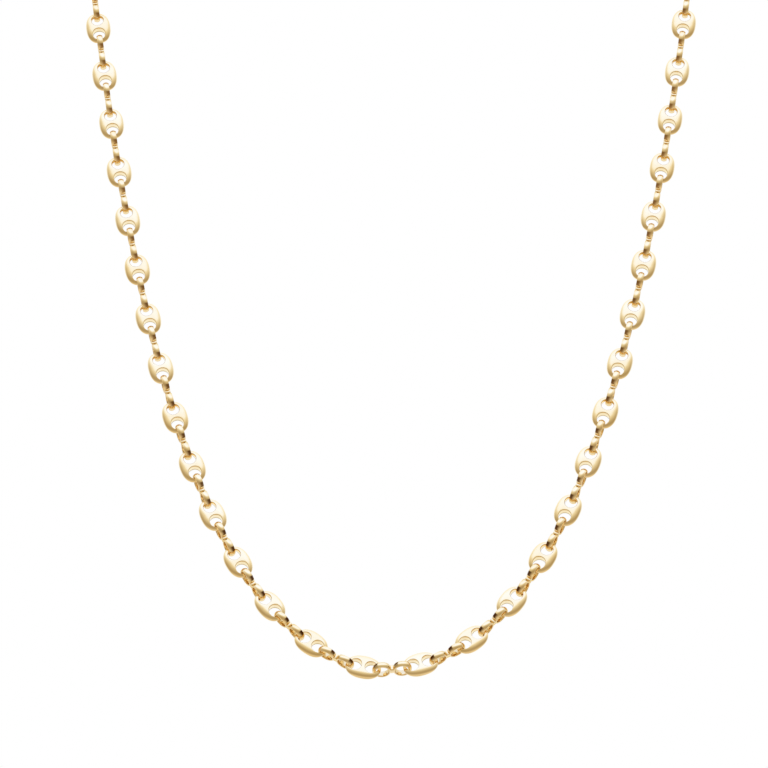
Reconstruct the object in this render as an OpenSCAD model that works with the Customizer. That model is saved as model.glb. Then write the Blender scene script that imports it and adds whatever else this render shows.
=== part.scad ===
// Coffee bean chain: puffed two-hole bean links joined by upright double-ring connectors.
// The loop hangs in one leaning plane, with its origin at the top middle, where it lies on the nape.

/* [Loop] */
// Angle by which the hanging loop leans back from upright, in degrees
lean = 25.5; // [15:0.5:35]
// Radius of the hanging curve at its lowest point
hang_r = 20.7; // [19:0.1:24]
// Spacing of the beans along the chain
pitch = 10.4; // [10.4:0.05:10.8]
// Beans on each side of the lowest connector
beans_a_side = 24; // [20:1:28]
// Distance by which the links have slipped round the loop
slip = 0.65; // [-1:0.05:1]
// Drop of the chain beside its lowest point, where one bean hangs low
dip = 0.4; // [0:0.05:0.4]
// Backward tip of the beans at the lowest point, in degrees
bean_tip = 10; // [6:1:12]
// Length of chain over which that tip fades to about a third
tip_fade = 42; // [30:1:60]

/* [Bean] */
// Length of a bean along the chain
bean_l = 6.4; // [6.3:0.05:6.5]
// Width of a bean across the chain
bean_w = 4.6; // [4.5:0.05:5]
// Thickness of a bean at its middle
bean_t = 1.6; // [1.4:0.05:1.6]
// Radius of the two holes in a bean
hole_r = 1.15; // [1.15:0.01:1.2]
// Width of the bar between the two holes
bar_w = 0.62; // [0.6:0.02:0.7]

/* [Connector] */
// Outer radius of a connector's rings
ring_r = 1.74; // [1.7:0.01:1.78]
// Wall of a connector's rings at the middle of the band
ring_wall = 0.46; // [0.44:0.01:0.48]
// Width of a connector's band
band_w = 1.1; // [0.9:0.05:1.1]
// Height by which the band's outside is domed
crown = 0.18; // [0.1:0.01:0.2]
// Rounding of the band's edges
edge_r = 0.1; // [0.06:0.01:0.11]
// Radius of the short waist that joins the two rings
waist_r = 0.42; // [0.36:0.02:0.6]

/* [Clasp] */
// Length of the one-piece clasp
clasp_l = 11.4; // [10.5:0.1:13]
// Width of the clasp
clasp_w = 4.8; // [4.4:0.1:5.4]
// Thickness of the clasp at its middle
clasp_t = 2; // [1.8:0.1:2.4]
// Length of the clasp's open claw
claw_l = 5; // [4:0.1:5.5]

/* [Hidden] */
$fn = 80;

// Play between a bean's hole end and the point where the next link pivots
play = 0.26;
// Rim of metal outside each end hole of the clasp
clasp_rim = 0.62;
hole_x = bar_w / 2 + hole_r;
bean_reach = hole_x + hole_r - play;
connector_reach = pitch / 2 - bean_reach;
bore_r = ring_r - ring_wall;
// The pivot lies this far past the inside of a ring's end
pivot_inset = 0.25;
ring_x = connector_reach + pivot_inset - bore_r;
clasp_reach = clasp_l / 2 - clasp_rim - play;
edge_steps = 2;
crown_steps = 3;
// The dip's distance from the lowest point, and half its width
dip_s = 4;
dip_w = 7;
// Backward tips of the connectors in degrees, from the lowest one up each side
connector_tips = [14, 3, 2, 5, 4, 4, 3, 1];
// Length of the cutters that go right through a link
through_l = 3;
// Steps of a bean's shallow faces, round their barrels and across them
face_fn = 300;
cross_fn = 200;

// Half the closed loop, from the lowest point to the top middle
half_l = beans_a_side * pitch + connector_reach + clasp_reach;
side_l = side_for(half_l, pitch, half_l, 40);
side_turn = atan(side_l / hang_r);
neck_r = hang_x(side_l) / sin(side_turn);
neck_y = hang_y(side_l) + neck_r * cos(side_turn);
top_y = neck_y + neck_r;

// Place on the hanging curve at a length s from its lowest point
function hang_x(s) = hang_r * ln(s / hang_r + sqrt(pow(s / hang_r, 2) + 1));
function hang_y(s) = sqrt(hang_r * hang_r + s * s) - hang_r;
// Half loop that closes a hanging side of length s with a round arc
function closed_half(s) =
    let (turn = atan(s / hang_r))
    s + hang_x(s) / sin(turn) * (180 - turn) * PI / 180;
// Length of the hanging side for which the half loop comes out right
function side_for(half, low, high, steps) =
    let (middle = (low + high) / 2)
    steps == 0 ? middle :
    closed_half(middle) < half ? side_for(half, middle, high, steps - 1) :
    side_for(half, low, middle, steps - 1);

function wrapped(s) = s > half_l ? s - 2 * half_l : s < -half_l ? s + 2 * half_l : s;
function neck_turn(s) = side_turn + (abs(s) - side_l) / neck_r * 180 / PI;
function drop(s) = dip * exp(-pow((s + dip_s) / dip_w, 2));
function side_point(s) = [sign(s) * hang_x(abs(s)), hang_y(s) - top_y - drop(s)];
function neck_point(s) =
    [sign(s) * neck_r * sin(neck_turn(s)), neck_y - neck_r * cos(neck_turn(s)) - top_y];
function loop_point(s) =
    let (w = wrapped(s))
    abs(w) <= side_l ? side_point(w) : neck_point(w);

function bean_tip_at(s) = bean_tip * exp(-abs(s) / tip_fade);
function connector_tip_at(i) = i < len(connector_tips) ? connector_tips[i] : 0;

// Puts a link between two points of the loop: X runs along the chain, Z faces the front
module on_loop(s, reach, tip) {
    start = loop_point(s - reach);
    end = loop_point(s + reach);
    run = end - start;
    rotate([90 - lean, 0, 0])
        translate((start + end) / 2)
            rotate([0, 0, atan2(run[1], run[0])])
                rotate([-tip, 0, 0])
                    children();
}

module through_hole(x, r) {
    translate([x, 0, 0])
        cylinder(r = r, h = through_l, center = true);
}

// A flattened egg for the clasp, with its poles at the tips of the long axis
module puffed(l, w, t) {
    scale([l / 2, w / 2, t / 2])
        rotate([0, 90, 0])
            rotate([0, 0, 90])
                sphere(r = 1);
}

// One face of a bean: a barrel that turns about the cross axis, with its top at half the thickness
module face(l, w, t) {
    rise = t / 2;
    long_r = (l * l / 4 + rise * rise) / t;
    cross_r = (w * w / 4 + rise * rise) / t;
    translate([0, 0, rise - long_r])
        rotate([90, 0, 0])
            rotate_extrude($fn = face_fn)
                intersection() {
                    translate([long_r - cross_r, 0])
                        circle(r = cross_r, $fn = cross_fn);
                    translate([0, -w])
                        square([2 * long_r, 2 * w]);
                }
}

module bean() {
    difference() {
        intersection() {
            face(bean_l, bean_w, bean_t);
            mirror([0, 0, 1])
                face(bean_l, bean_w, bean_t);
        }
        through_hole(-hole_x, hole_r);
        through_hole(hole_x, hole_r);
    }
}

// Points of one rounded corner of the band, turning from the angle given
function corner(centre, from) =
    [for (i = [0 : edge_steps]) let (a = from + 90 * i / edge_steps)
        centre + edge_r * [cos(a), sin(a)]];

module ring() {
    low = bore_r + edge_r;
    high = ring_r - crown - edge_r;
    side = band_w / 2 - edge_r;
    dome = [for (i = [1 - crown_steps : crown_steps - 1]) let (t = i / crown_steps)
        [ring_r - crown * t * t, side * t]];
    rotate([90, 0, 0])
        rotate_extrude()
            polygon(concat(
                corner([low, -side], 180),
                corner([high, -side], 270),
                dome,
                corner([high, side], 0),
                corner([low, side], 90)));
}

module connector() {
    waist_w = band_w - edge_r;
    translate([-ring_x, 0, 0])
        ring();
    translate([ring_x, 0, 0])
        ring();
    rotate([90, 0, 0])
        cylinder(r = waist_r, h = waist_w, center = true);
}

module bean_links() {
    color("gold")
        for (i = [-beans_a_side : beans_a_side - 1])
            let (s = (i + 0.5) * pitch + slip)
                on_loop(s, bean_reach, bean_tip_at(s))
                    bean();
}

module connector_links() {
    color("khaki")
        for (i = [-beans_a_side : beans_a_side])
            on_loop(i * pitch + slip, connector_reach, connector_tip_at(abs(i)))
                connector();
}

module clasp() {
    eye_x = clasp_l / 2 - clasp_rim - hole_r;
    claw_end_x = eye_x - claw_l + 2 * hole_r;
    color("gold")
        on_loop(half_l + slip, clasp_reach, 0)
            difference() {
                puffed(clasp_l, clasp_w, clasp_t);
                through_hole(-eye_x, hole_r);
                through_hole(eye_x, hole_r);
                through_hole(claw_end_x, hole_r);
                translate([(eye_x + claw_end_x) / 2, 0, 0])
                    cube([eye_x - claw_end_x, 2 * hole_r, through_l], center = true);
            }
}

bean_links();
connector_links();
clasp();
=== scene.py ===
import math

import bmesh
import bpy
from mathutils import Matrix, Vector


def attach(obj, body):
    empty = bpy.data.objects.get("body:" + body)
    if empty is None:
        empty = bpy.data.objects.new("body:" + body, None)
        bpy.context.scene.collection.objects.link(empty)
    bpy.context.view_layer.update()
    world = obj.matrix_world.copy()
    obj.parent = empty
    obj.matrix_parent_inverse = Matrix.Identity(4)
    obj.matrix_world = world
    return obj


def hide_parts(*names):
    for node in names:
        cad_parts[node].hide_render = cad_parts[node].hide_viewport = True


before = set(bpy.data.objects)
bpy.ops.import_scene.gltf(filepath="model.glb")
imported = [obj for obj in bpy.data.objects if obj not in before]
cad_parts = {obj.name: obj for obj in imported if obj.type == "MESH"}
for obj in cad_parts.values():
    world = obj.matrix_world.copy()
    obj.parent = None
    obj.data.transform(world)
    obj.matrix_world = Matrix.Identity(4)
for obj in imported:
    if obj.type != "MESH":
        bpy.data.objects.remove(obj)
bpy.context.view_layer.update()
print("frame loaded")

mm = 0.001  # links are drawn in millimetres and made metres as they are strung
weld = 0.0005  # vertices closer than this, in millimetres, become one
searchSteps = 50  # halvings in a search, past which a number no longer changes


# camera: level, a little to the right of the middle, nearly a metre in front
camera = {
    "lens": 234.4,
    "sensor": 36,
    "place": (0.30, -980.94, -134.38),
    "roll": -0.0033,
    "yaw": 0.0014,
    "sight": (0.01, 20),  # metres that it sees from and to
}


def makeCamera():
    data = bpy.data.cameras.new("photoCamera")
    data.lens = camera["lens"]
    data.sensor_width = camera["sensor"]
    data.clip_start, data.clip_end = camera["sight"]
    thing = bpy.data.objects.new("photoCamera", data)
    thing.location = Vector(camera["place"]) * mm
    thing.rotation_euler = (math.pi / 2, camera["roll"], camera["yaw"])
    bpy.context.scene.collection.objects.link(thing)
    bpy.context.scene.camera = thing


makeCamera()
print("camera set")


# shader maths: a socket in a wrapper, so that an expression adds its own Math nodes
class Signal:
    def __init__(self, bench, socket):
        self.bench = bench
        self.socket = socket

    def __add__(self, other):
        return self.bench.maths("ADD", self, other)

    def __radd__(self, other):
        return self.bench.maths("ADD", other, self)

    def __sub__(self, other):
        return self.bench.maths("SUBTRACT", self, other)

    def __rsub__(self, other):
        return self.bench.maths("SUBTRACT", other, self)

    def __mul__(self, other):
        return self.bench.maths("MULTIPLY", self, other)

    def __rmul__(self, other):
        return self.bench.maths("MULTIPLY", other, self)

    def __neg__(self):
        return self.bench.maths("MULTIPLY", self, -1.0)


class Bench:  # the nodes of one material, or of the world
    def __init__(self, tree):
        self.tree = tree
        tree.nodes.clear()

    def add(self, kind, settings, sockets, output=0):
        node = self.tree.nodes.new(kind)
        for key, value in settings.items():
            if key == "stops":
                elements = node.color_ramp.elements
                while len(elements) < len(value):
                    elements.new(0.5)
                for element, (position, colour) in zip(elements, value):
                    element.position = position
                    element.color = colour
            else:
                setattr(node, key, value)
        for key, value in sockets.items():
            if isinstance(value, Signal):
                self.tree.links.new(value.socket, node.inputs[key])
            else:
                node.inputs[key].default_value = value
        return Signal(self, node.outputs[output]) if node.outputs else None

    def maths(self, operation, *values):
        return self.add("ShaderNodeMath", {"operation": operation}, dict(enumerate(values)))

    def distance(self, first, second):  # from an axis, by the two values across it
        return self.maths("SQRT", first * first + second * second)

    def part(self, vector, axis):
        return self.add("ShaderNodeSeparateXYZ", {}, {"Vector": vector}, axis)

    def ramp(self, value, low, high):  # 0 up to low, 1 from high, and even between
        return self.add("ShaderNodeMapRange", {}, {0: value, 1: low, 2: high})

    def mix(self, factor, first, second):  # a colour mix takes its colours at 6 and 7 and gives one at 2
        return self.add("ShaderNodeMix", {"data_type": "RGBA"}, {0: factor, 6: first, 7: second}, 2)

    def noise(self, place, scale, detail=2.0):
        return self.add("ShaderNodeTexNoise", {}, {"Vector": place, "Scale": scale, "Detail": detail})


def freshMaterial(name):
    material = bpy.data.materials.new(name)
    material.use_nodes = True
    return material, Bench(material.node_tree)


def newObject(name, bm, material):
    mesh = bpy.data.meshes.new(name)
    bm.to_mesh(mesh)
    bm.free()
    mesh.materials.append(material)
    thing = bpy.data.objects.new(name, mesh)
    bpy.context.scene.collection.objects.link(thing)
    return thing


# the loop: a hanging curve at each side, closed by a round arc at the nape
loop = {
    "lean": 25.5,  # degrees back from upright
    "hangRadius": 20.7,
    "pitch": 10.4,
    "beansASide": 24,
    "slip": 0.65,
    "dip": 0.4,  # drop beside the lowest point, where one bean hangs low
    "dipPlace": -4,
    "dipWidth": 7,
    "connectorTips": (14, 3, 2, 5, 4, 4, 3, 1),  # degrees backward, from the lowest one up each side
    "beanTip": 10,  # at the lowest point
    "tipFade": 42,
    "shadeStart": 0.31,
    "shadeStep": 0.618,  # from one link's shade to the next, so that no two neighbours match
}


# the farthest value for which a test still holds
def lastInside(near, far, inside):
    for step in range(searchSteps):
        middle = (near + far) / 2
        if inside(middle):
            near = middle
        else:
            far = middle
    return near


def masterMesh(bm, name):
    bmesh.ops.remove_doubles(bm, verts=bm.verts[:], dist=weld)
    bmesh.ops.recalc_face_normals(bm, faces=bm.faces[:])
    mesh = bpy.data.meshes.new(name)
    bm.to_mesh(mesh)
    bm.free()
    return mesh


def mirroredMesh(bm, name):  # the front of a link gets its back
    everything = bm.verts[:] + bm.edges[:] + bm.faces[:]
    bmesh.ops.mirror(bm, geom=everything, matrix=Matrix.Identity(4), merge_dist=weld, axis="Z")
    return masterMesh(bm, name)


# puffed links: each half grows in rings along spokes, from its window's edge out to the rim
edgeRings = 3  # the top of a window's wall, and two more round its edge
nearMiddle = 0.01  # share of the way to the rim, within which a dome is flat
longest = 20  # more than any spoke


def rimShare(shape, x, y):  # 0 at the middle of a link and 1 on its rim
    power = shape["square"]
    return (abs(2 * x / shape["length"]) ** power + abs(2 * y / shape["width"]) ** power) ** (1 / power)


def domeHeight(shape, x, y, away):  # away is from the window's edge
    share = rimShare(shape, x, y)
    deep = math.hypot(x, y) * (1 / share - 1) if share > nearMiddle else shape["roll"]
    left = max(0, 1 - deep / shape["roll"])
    near = max(0, 1 - away / shape["dishReach"])
    tall = shape["thick"] / 2 * (1 - shape["taper"] * (2 * x / shape["length"]) ** 2)
    return tall * math.sqrt(max(0, 1 - left * left)) * (1 - shape["dish"] * near * near)


def spokeReach(centreX, direction, inside):
    def stillInside(distance):
        return inside(centreX + distance * direction[0], distance * direction[1])

    return lastInside(0, longest, stillInside)


def addPuffedHalf(bm, spoke, shape, centreX, window, splitX, side):
    def withinRim(x, y):
        return rimShare(shape, x, y) < 1

    def withinHalf(x, y):
        return withinRim(x, y) and (x - splitX) * side > 0

    splitHigh = spokeReach(splitX, (0, 1), withinRim)
    across = abs(splitX - centreX)
    corner = math.atan2(splitHigh, across)
    angles = []
    for i in range(shape["barSteps"]):
        angles.append(math.atan2(splitHigh * math.sin(math.pi * (i / shape["barSteps"] - 0.5)), across))
    for i in range(shape["rimSteps"]):
        angles.append(corner + (2 * math.pi - 2 * corner) * i / shape["rimSteps"])
    spokes = []
    for i, angle in enumerate(angles):
        direction = (-side * math.cos(angle), math.sin(angle))
        inner = spokeReach(centreX, direction, window)
        outer = spokeReach(centreX, direction, withinHalf)
        spokes.append((direction, inner, outer, 0 < i < shape["barSteps"]))
    lastRing = edgeRings + shape["domeRings"]

    def spokePoint(i, ring):
        direction, inner, outer, toBar = spokes[i]
        edge = shape["edge"]
        soft = inner + edge
        if ring <= edgeRings:
            turn = max(0, ring - 1) * math.pi / 4
            distance = inner + edge * (1 - math.cos(turn))
            high = domeHeight(shape, centreX + soft * direction[0], soft * direction[1], edge)
            z = high - edge * (1 - math.sin(turn)) if ring else 0
            return Vector((centreX + distance * direction[0], distance * direction[1], z))
        distance = soft + math.sin(math.pi / 2 * (ring - edgeRings) / shape["domeRings"]) * (outer - soft)
        x, y = centreX + distance * direction[0], distance * direction[1]
        z = 0 if ring == lastRing and not toBar else domeHeight(shape, x, y, distance - inner)
        return Vector((x, y, z))

    verts = bmesh.ops.create_circle(bm, cap_ends=False, segments=len(spokes), radius=1)["verts"]
    verts.sort(key=lambda v: math.atan2(v.co.y, v.co.x))
    for i, v in enumerate(verts):
        v[spoke] = i
        v.co = spokePoint(i, 0)
    edges = list({e for v in verts for e in v.link_edges})
    for ring in range(1, lastRing + 1):
        grown = bmesh.ops.extrude_edge_only(bm, edges=edges)["geom"]
        edges = [g for g in grown if isinstance(g, bmesh.types.BMEdge)]
        for v in grown:
            if isinstance(v, bmesh.types.BMVert):
                v.co = spokePoint(v[spoke], ring)


# beans: puffed links with two round holes and a bar between them
bean = {
    "length": 6.4,
    "width": 4.6,
    "thick": 1.6,
    "holeRadius": 1.15,
    "bar": 0.62,
    "edge": 0.10,  # rounding of the hole's edge
    "square": 2.3,  # 2 is an ellipse, and more is squarer
    "roll": 1.3,  # width over which the rim rolls over
    "taper": 0.42,  # share of the thickness that is gone at the tips
    "dish": 0.03,  # share that is gone at the hole's edge
    "dishReach": 0.15,
    "play": 0.26,  # from a hole's wall in to the point where the chain bends
    "barSteps": 14,
    "rimSteps": 26,
    "domeRings": 9,
    "slopeStep": 0.001,
    "rimBand": 0.05,  # height below which the rim is too steep for a slope
    "toneFade": (0.02, 0.08),  # out from a hole's wall
    "toneFront": (0.50, 0.68),  # heights between which the painted shade comes in, at the front and at the back
    "toneBack": (0.26, 0.42),
    "toneFrontShare": 0.4,
}

holeX = bean["bar"] / 2 + bean["holeRadius"]
beanReach = holeX + bean["holeRadius"] - bean["play"]


def beanMaster():
    bm = bmesh.new()
    spoke = bm.verts.layers.int.new("spoke")
    for side in (-1, 1):
        centreX = side * holeX

        def inHole(x, y):
            return math.hypot(x - centreX, y) < bean["holeRadius"]

        addPuffedHalf(bm, spoke, bean, centreX, inHole, 0, side)
    return mirroredMesh(bm, "beanMaster")


# the domes' true slope at each vertex, because long faces beside the bar would bend the mirrored light
def beanNormals(mesh):
    step = bean["slopeStep"]

    def away(x, y):
        return math.hypot(abs(x) - holeX, y) - bean["holeRadius"]

    def dome(x, y):
        return domeHeight(bean, x, y, away(x, y))

    normals = []
    for v in mesh.vertices:
        x, y, z = v.co
        if abs(z) > bean["rimBand"] and away(x, y) > bean["edge"] - step:
            slopeX = (dome(x + step, y) - dome(x - step, y)) / (2 * step)
            slopeY = (dome(x, y + step) - dome(x, y - step)) / (2 * step)
            normals.append(Vector((-slopeX, -slopeY, math.copysign(1, z))).normalized())
        else:
            normals.append(v.normal.copy())
    return normals


def beanPaintedShade(bench, local):  # painted shade, deeper at both edges of the walls of the two holes
    x = bench.maths("ABSOLUTE", bench.part(local, "X")) - holeX
    z = bench.part(local, "Z")
    away = bench.distance(x, bench.part(local, "Y")) - bean["holeRadius"]
    front = bench.ramp(z, *bean["toneFront"]) * bean["toneFrontShare"]
    return (1 - bench.ramp(away, *bean["toneFade"])) * (front + bench.ramp(-z, *bean["toneBack"]))


# clasp: a puffed link with a round eye at one end and a claw at the other
clasp = {
    "length": 11.4,
    "width": 4.8,
    "thick": 2.0,
    "rim": 0.62,  # metal outside the eye
    "claw": 5.0,  # length of its opening
    "edge": 0.12,
    "square": 2.0,
    "roll": 1.6,
    "taper": 0.5,
    "dish": 0.0,
    "dishReach": 0.5,
    "barSteps": 16,
    "rimSteps": 44,
    "domeRings": 9,
    "toneFade": (0.1, 0.5),  # up from the middle of its thickness
    "tone": 0.06,  # share of the painted shade colour
}

claspReach = clasp["length"] / 2 - clasp["rim"] - bean["play"]


def claspMaster():
    radius = bean["holeRadius"]
    eyeX = clasp["length"] / 2 - clasp["rim"] - radius
    clawX = eyeX - clasp["claw"] + 2 * radius
    splitX = (clawX - eyeX) / 2

    def inEye(x, y):
        return math.hypot(x + eyeX, y) < radius

    def inClaw(x, y):
        return math.hypot(x - min(eyeX, max(clawX, x)), y) < radius

    bm = bmesh.new()
    spoke = bm.verts.layers.int.new("spoke")
    addPuffedHalf(bm, spoke, clasp, -eyeX, inEye, splitX, -1)
    addPuffedHalf(bm, spoke, clasp, (eyeX + clawX) / 2, inClaw, splitX, 1)
    return mirroredMesh(bm, "claspMaster")


# painted shade round the middle of the clasp's thickness, on its rim and the walls of its eye and claw
def claspPaintedShade(bench, local):
    z = bench.maths("ABSOLUTE", bench.part(local, "Z"))
    return (1 - bench.ramp(z, *clasp["toneFade"])) * clasp["tone"]


# connectors: two plain rings on a crosswise axis, joined by a short waist
connector = {
    "ringRadius": 1.74,
    "wall": 0.46,
    "band": 1.1,
    "edge": 0.08,
    "crown": 0.18,  # how far the band's outside bulges
    "inset": 0.25,  # from the bore in to the point where the chain bends
    "waist": 0.60,
    "waistBand": 1.0,
    "waistEdge": 0.1,
    "ringSteps": 44,
    "waistSteps": 16,
    "toneFade": (0.01, 0.1),  # out from the bore
    "tone": 0.3,  # share of the painted shade colour
}

connectorReach = loop["pitch"] / 2 - beanReach
boreRadius = connector["ringRadius"] - connector["wall"]
ringX = connectorReach + connector["inset"] - boreRadius


def spunRing(bm, profile, centreX, steps, closed):
    verts = [bm.verts.new((centreX + r, y, 0)) for r, y in profile]
    pairs = list(zip(verts, verts[1:]))
    if closed:
        pairs.append((verts[-1], verts[0]))
    edges = [bm.edges.new(pair) for pair in pairs]
    bmesh.ops.spin(
        bm, geom=verts + edges, cent=(centreX, 0, 0), axis=(0, 1, 0), dvec=(0, 0, 0),
        angle=2 * math.pi, steps=steps, use_merge=True, use_duplicate=False,
    )


def cornerPoints(r, y, edge, start):  # three points round a quarter turn
    turns = [math.radians(start + a) for a in (0, 45, 90)]
    return [(r + edge * math.cos(turn), y + edge * math.sin(turn)) for turn in turns]


def connectorMaster():
    bm = bmesh.new()
    edge, crown = connector["edge"], connector["crown"]
    low = boreRadius + edge
    high = connector["ringRadius"] - edge - crown
    side = connector["band"] / 2 - edge
    ring = cornerPoints(low, -side, edge, 180) + cornerPoints(high, -side, edge, 270)
    for share in (-0.75, -0.5, -0.25, 0, 0.25, 0.5, 0.75):  # across the bulging outside
        ring.append((connector["ringRadius"] - crown * share * share, side * share))
    ring += cornerPoints(high, side, edge, 0) + cornerPoints(low, side, edge, 90)
    for centreX in (-ringX, ringX):
        spunRing(bm, ring, centreX, connector["ringSteps"], True)
    edge = connector["waistEdge"]
    high = connector["waist"] - edge
    side = connector["waistBand"] / 2 - edge
    waist = [(0, -side - edge)] + cornerPoints(high, -side, edge, 270)
    waist += cornerPoints(high, side, edge, 0) + [(0, side + edge)]
    spunRing(bm, waist, 0, connector["waistSteps"], False)
    return masterMesh(bm, "connectorMaster")


def connectorPaintedShade(bench, local):  # painted shade, deeper inside the rings
    x = bench.maths("ABSOLUTE", bench.part(local, "X")) - ringX
    away = bench.distance(x, bench.part(local, "Z")) - boreRadius
    return (1 - bench.ramp(away, *connector["toneFade"])) * connector["tone"]


# where a ring's band gets a painted dark reflection
ringPaintedReflection = {
    "begins": (0.40, 0.50),  # angles round the ring from its front, in radians
    "ends": (0.95, 1.05),
    "across": (-0.45, 0.1),  # places across the band
    "outside": (0.12, 0.2),  # out from the bore
    "least": 0.92,
    "more": 0.07,
    "patchScale": 1.7,
    "patchShare": 0.4,
    "patches": (0.2, 0.6),
}


# a painted dark reflection, brown, on each ring's band, where it runs down towards the next link on the inner
# side
def connectorPaintedReflection(bench, local, shade):
    x = bench.part(local, "X")
    z = bench.part(local, "Z")
    onward = (bench.maths("ABSOLUTE", x) - ringX) * bench.maths("SIGN", x)
    turn = bench.maths("ARCTAN2", onward, z)
    band = bench.ramp(turn, *ringPaintedReflection["begins"]) * (1 - bench.ramp(turn, *ringPaintedReflection["ends"]))
    across = bench.ramp(bench.part(local, "Y"), *ringPaintedReflection["across"])
    outside = bench.ramp(bench.distance(onward, z) - boreRadius, *ringPaintedReflection["outside"])
    patches = bench.noise(local, ringPaintedReflection["patchScale"]) * ringPaintedReflection["patchShare"] + shade
    patchy = bench.ramp(patches, *ringPaintedReflection["patches"])
    return band * across * outside * (ringPaintedReflection["least"] + patchy * ringPaintedReflection["more"])


# along the loop, by the length from its lowest point
halfLength = loop["beansASide"] * loop["pitch"] + connectorReach + claspReach


def hangX(s):
    return loop["hangRadius"] * math.asinh(s / loop["hangRadius"])


def hangY(s):
    return math.hypot(loop["hangRadius"], s) - loop["hangRadius"]


def closedHalf(s):  # half the loop, where each side hangs for a length s
    turn = math.atan(s / loop["hangRadius"])
    return s + hangX(s) / math.sin(turn) * (math.pi - turn)


sideLength = lastInside(loop["pitch"], halfLength, lambda s: closedHalf(s) < halfLength)
sideTurn = math.atan(sideLength / loop["hangRadius"])
neckRadius = hangX(sideLength) / math.sin(sideTurn)
neckY = hangY(sideLength) + neckRadius * math.cos(sideTurn)
topY = neckY + neckRadius


def wrapped(s):
    if s > halfLength:
        return s - 2 * halfLength
    if s < -halfLength:
        return s + 2 * halfLength
    return s


def loopPoint(s):
    along = wrapped(s)
    side = math.copysign(1, along)
    length = abs(along)
    if length <= sideLength:
        drop = loop["dip"] * math.exp(-(((along - loop["dipPlace"]) / loop["dipWidth"]) ** 2))
        return Vector((side * hangX(length), hangY(length) - topY - drop, 0))
    turn = sideTurn + (length - sideLength) / neckRadius
    return Vector((side * neckRadius * math.sin(turn), neckY - neckRadius * math.cos(turn) - topY, 0))


# the matrix that puts a link on the loop, with X along the chain and Z to the front
def onLoop(s, reach, tip=0):
    start, end = loopPoint(s - reach), loopPoint(s + reach)
    run = end - start
    return (
        Matrix.Rotation(math.radians(90 - loop["lean"]), 4, "X")
        @ Matrix.Translation((start + end) / 2)
        @ Matrix.Rotation(math.atan2(run.y, run.x), 4, "Z")
        @ Matrix.Rotation(math.radians(-tip), 4, "X")
    )


# one object for all the links of a kind, which keep each link's shade and its own coordinates
# a link's own X points down the chain on both sides, so the links past onLeft have it turned round
def strungPiece(name, master, places, material, nodeName, onLeft=0, normals=()):
    bm = bmesh.new()
    shade = bm.verts.layers.float.new("linkShade")
    local = bm.verts.layers.float_vector.new("linkPlace")
    for number, place in enumerate(places):
        start = len(bm.verts)
        bm.from_mesh(master)
        bm.verts.ensure_lookup_table()
        fresh = bm.verts[start:]
        for v in fresh:
            v[shade] = (number * loop["shadeStep"] + loop["shadeStart"]) % 1
            v[local] = v.co if number < onLeft else Vector((-v.co.x, v.co.y, v.co.z))
        bmesh.ops.transform(bm, matrix=Matrix.Scale(mm, 4) @ place, verts=fresh)
    for face in bm.faces:
        face.smooth = True
    piece = newObject(name, bm, material)
    if normals:
        turned = [place.to_3x3() @ normal for place in places for normal in normals]
        piece.data.normals_split_custom_set_from_vertices(turned)
    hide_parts(nodeName)
    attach(piece, "root")
    print(name, "made,", len(piece.data.polygons), "faces")


# polished pale gold
gold = {
    "pale": (0.98, 0.79, 0.45, 1),
    "deep": (0.95, 0.72, 0.35, 1),
    # painted shade colour, mixed into the hole walls, the ring bores and the clasp's rim
    "paintedShadeColour": (0.56, 0.36, 0.12, 1),
    "paintedReflectionHigh": (0.44, 0.25, 0.09, 1),  # painted dark reflection on the upper links, and the low links are darker
    "paintedReflectionLow": (0.075, 0.016, 0.001, 1),
    "paintedReflectionDrop": (0.10, 0.18),  # metres below the origin between which the painted reflection turns dark
    "edgeTint": (0.93, 0.86, 0.68, 1),
    "warmEdgeTint": (0.74, 0.55, 0.28, 1),  # on the connectors, where it keeps the painted dark reflection brown
    "cloudScale": 260.0,
    "cloudDetail": 3.0,
    "cloudShare": 0.7,
    "shadeShare": 0.3,
    "clouds": (0.2, 0.8),
    "smudgeScale": 900.0,
    "smudges": (0.35, 0.75),
    "rough": 0.03,
    "smudgeRough": 0.035,
    "toneRough": 0.1,
    "hairScale": (3.0, 40.0, 40.0),
    "hairTurn": (0, 0, 0.4),
    "hairStrength": 0.06,
    "hairDepth": 0.00001,
}


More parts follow.
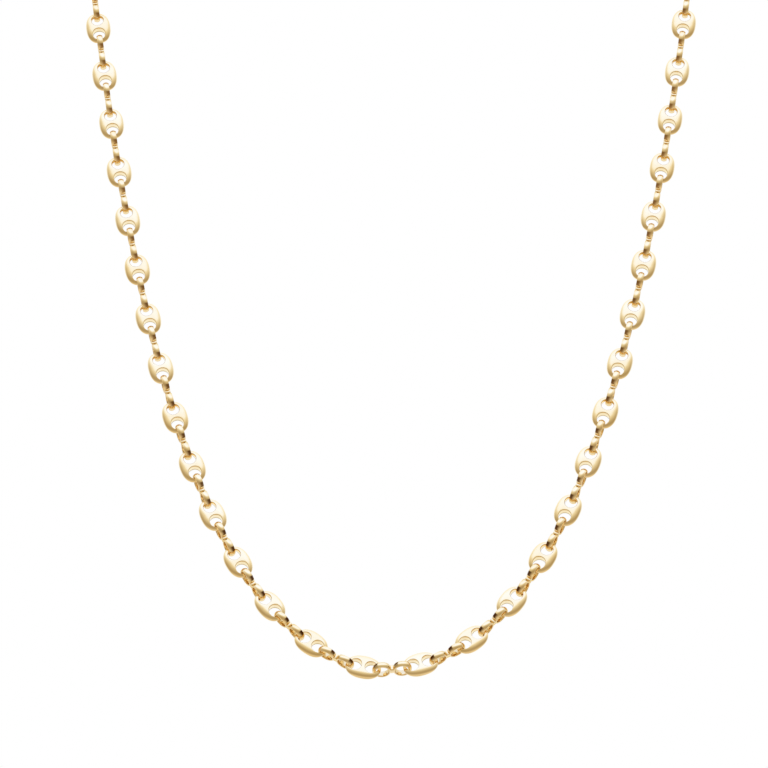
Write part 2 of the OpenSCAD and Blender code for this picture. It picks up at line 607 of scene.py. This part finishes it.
def goldMaterial(name, tone, edgeTint, paintedReflection=None):
    material, bench = freshMaterial(name)
    place = bench.add("ShaderNodeTexCoord", {}, {}, "Object")
    local = bench.add("ShaderNodeAttribute", {"attribute_name": "linkPlace"}, {}, "Vector")
    shade = bench.add("ShaderNodeAttribute", {"attribute_name": "linkShade"}, {}, "Fac")
    cloud = bench.noise(place, gold["cloudScale"], gold["cloudDetail"]) * gold["cloudShare"]
    cloud = cloud + shade * gold["shadeShare"]
    colour = bench.mix(bench.ramp(cloud, *gold["clouds"]), gold["pale"], gold["deep"])
    # painted shade: each kind's own mask darkens the colour towards the painted shade colour, and roughens it
    # a little
    paintedShadeMask = tone(bench, local)
    colour = bench.mix(paintedShadeMask, colour, gold["paintedShadeColour"])
    # painted dark reflection on the connectors' bands, darker on the lower links
    if paintedReflection:
        drop = bench.ramp(-bench.part(place, "Z"), *gold["paintedReflectionDrop"])
        brown = bench.mix(drop, gold["paintedReflectionHigh"], gold["paintedReflectionLow"])
        colour = bench.mix(paintedReflection(bench, local, shade), colour, brown)
    smudge = bench.ramp(bench.noise(place, gold["smudgeScale"]), *gold["smudges"])
    rough = gold["rough"] + smudge * gold["smudgeRough"] + paintedShadeMask * gold["toneRough"]
    stretched = bench.add("ShaderNodeMapping", {}, {
        "Vector": local, "Scale": gold["hairScale"], "Rotation": gold["hairTurn"],
    })
    hairs = bench.add("ShaderNodeBump", {}, {
        "Strength": gold["hairStrength"], "Distance": gold["hairDepth"],
        "Height": bench.noise(stretched, 1.0),
    })
    surface = bench.add("ShaderNodeBsdfPrincipled", {}, {
        "Base Color": colour, "Metallic": 1.0, "Roughness": rough, "Normal": hairs,
        "Specular Tint": edgeTint,
    })
    bench.add("ShaderNodeOutputMaterial", {}, {"Surface": surface})
    return material


beanGold = goldMaterial("beanGold", beanPaintedShade, gold["edgeTint"])
connectorGold = goldMaterial("connectorGold", connectorPaintedShade, gold["warmEdgeTint"], connectorPaintedReflection)
claspGold = goldMaterial("claspGold", claspPaintedShade, gold["edgeTint"])
print("materials made")


# stringing: every link goes to its place on the loop
beansASide = loop["beansASide"]
beanPlaces = []
for i in range(-beansASide, beansASide):
    along = (i + 0.5) * loop["pitch"] + loop["slip"]
    tip = loop["beanTip"] * math.exp(-abs(along) / loop["tipFade"])
    beanPlaces.append(onLoop(along, beanReach, tip))
connectorPlaces = []
tips = loop["connectorTips"]
for i in range(-beansASide, beansASide + 1):
    tip = tips[abs(i)] if abs(i) < len(tips) else 0
    connectorPlaces.append(onLoop(i * loop["pitch"] + loop["slip"], connectorReach, tip))
claspPlaces = [onLoop(halfLength + loop["slip"], claspReach)]

beans = beanMaster()
strungPiece(
    "beanLinks", beans, beanPlaces, beanGold, "bean_links",
    onLeft=beansASide, normals=beanNormals(beans),
)
strungPiece(
    "connectorLinks", connectorMaster(), connectorPlaces, connectorGold, "connector_links",
    onLeft=beansASide,
)
strungPiece("napeClasp", claspMaster(), claspPlaces, claspGold, "clasp")


# studio: a big cool light overhead and in front, a dimmer warm room below it, a white wall behind
studio = {
    # elevation in degrees and the light that comes from there
    "sky": [
        (-90, (0.66, 0.58, 0.48)),
        (-50, (0.86, 0.78, 0.68)),
        (-30, (0.64, 0.56, 0.45)),
        (-10, (0.47, 0.39, 0.28)),
        (4, (0.47, 0.39, 0.28)),
        (18, (0.58, 0.52, 0.42)),
        (30, (0.74, 0.70, 0.63)),
        (40, (0.90, 0.92, 0.96)),
        (47, (1.03, 1.18, 1.68)),
        (57, (1.05, 1.28, 2.12)),
        (90, (1.05, 1.28, 2.12)),
    ],
    "wall": (1.07, 1.22, 1.66, 1),
    "wallBack": (-0.1, 0.8),  # Y of a direction at which the wall begins, and at which it is full
    "seen": (1, 1, 1, 1),  # what the camera sees beside the chain
    "floorZ": -330,
    "floorSize": 2400,
    "floorColour": (0.99, 0.875, 0.63, 1),  # warm, because the light from overhead is cool
    "floorRough": 0.6,
}


# the light that the metal mirrors comes by direction, and the camera itself sees plain white
def makeWorld():
    world = bpy.data.worlds.new("softRoom")
    world.use_nodes = True
    bench = Bench(world.node_tree)
    brightest = max(max(colour) for angle, colour in studio["sky"])
    stops = []
    for angle, colour in studio["sky"]:
        stops.append(((math.sin(math.radians(angle)) + 1) / 2, [part / brightest for part in colour] + [1]))
    direction = bench.add("ShaderNodeTexCoord", {}, {}, "Generated")
    height = bench.ramp(bench.part(direction, "Z"), -1, 1)
    sky = bench.add("ShaderNodeValToRGB", {"stops": stops}, {0: height})
    sky = bench.add("ShaderNodeVectorMath", {"operation": "SCALE"}, {0: sky, "Scale": brightest})
    back = bench.ramp(bench.part(direction, "Y"), *studio["wallBack"])
    room = bench.mix(back, sky, studio["wall"])
    straight = bench.add("ShaderNodeLightPath", {}, {}, "Is Camera Ray")
    light = bench.add("ShaderNodeBackground", {}, {0: bench.mix(straight, room, studio["seen"])})
    bench.add("ShaderNodeOutputWorld", {}, {"Surface": light})
    bpy.context.scene.world = world


def makeFloor():
    material, bench = freshMaterial("paleFloor")
    surface = bench.add("ShaderNodeBsdfPrincipled", {}, {
        "Base Color": studio["floorColour"], "Roughness": studio["floorRough"],
    })
    bench.add("ShaderNodeOutputMaterial", {}, {"Surface": surface})
    bm = bmesh.new()
    place = Matrix.Translation((0, 0, studio["floorZ"] * mm))
    bmesh.ops.create_grid(bm, x_segments=1, y_segments=1, size=studio["floorSize"] / 2 * mm, matrix=place)
    floor = newObject("paleFloor", bm, material)
    floor.visible_glossy = False  # the room's own low light is what the metal mirrors


makeWorld()
makeFloor()
bpy.context.scene.view_settings.view_transform = "Standard"
bpy.context.scene.view_settings.look = "None"
print("studio made")
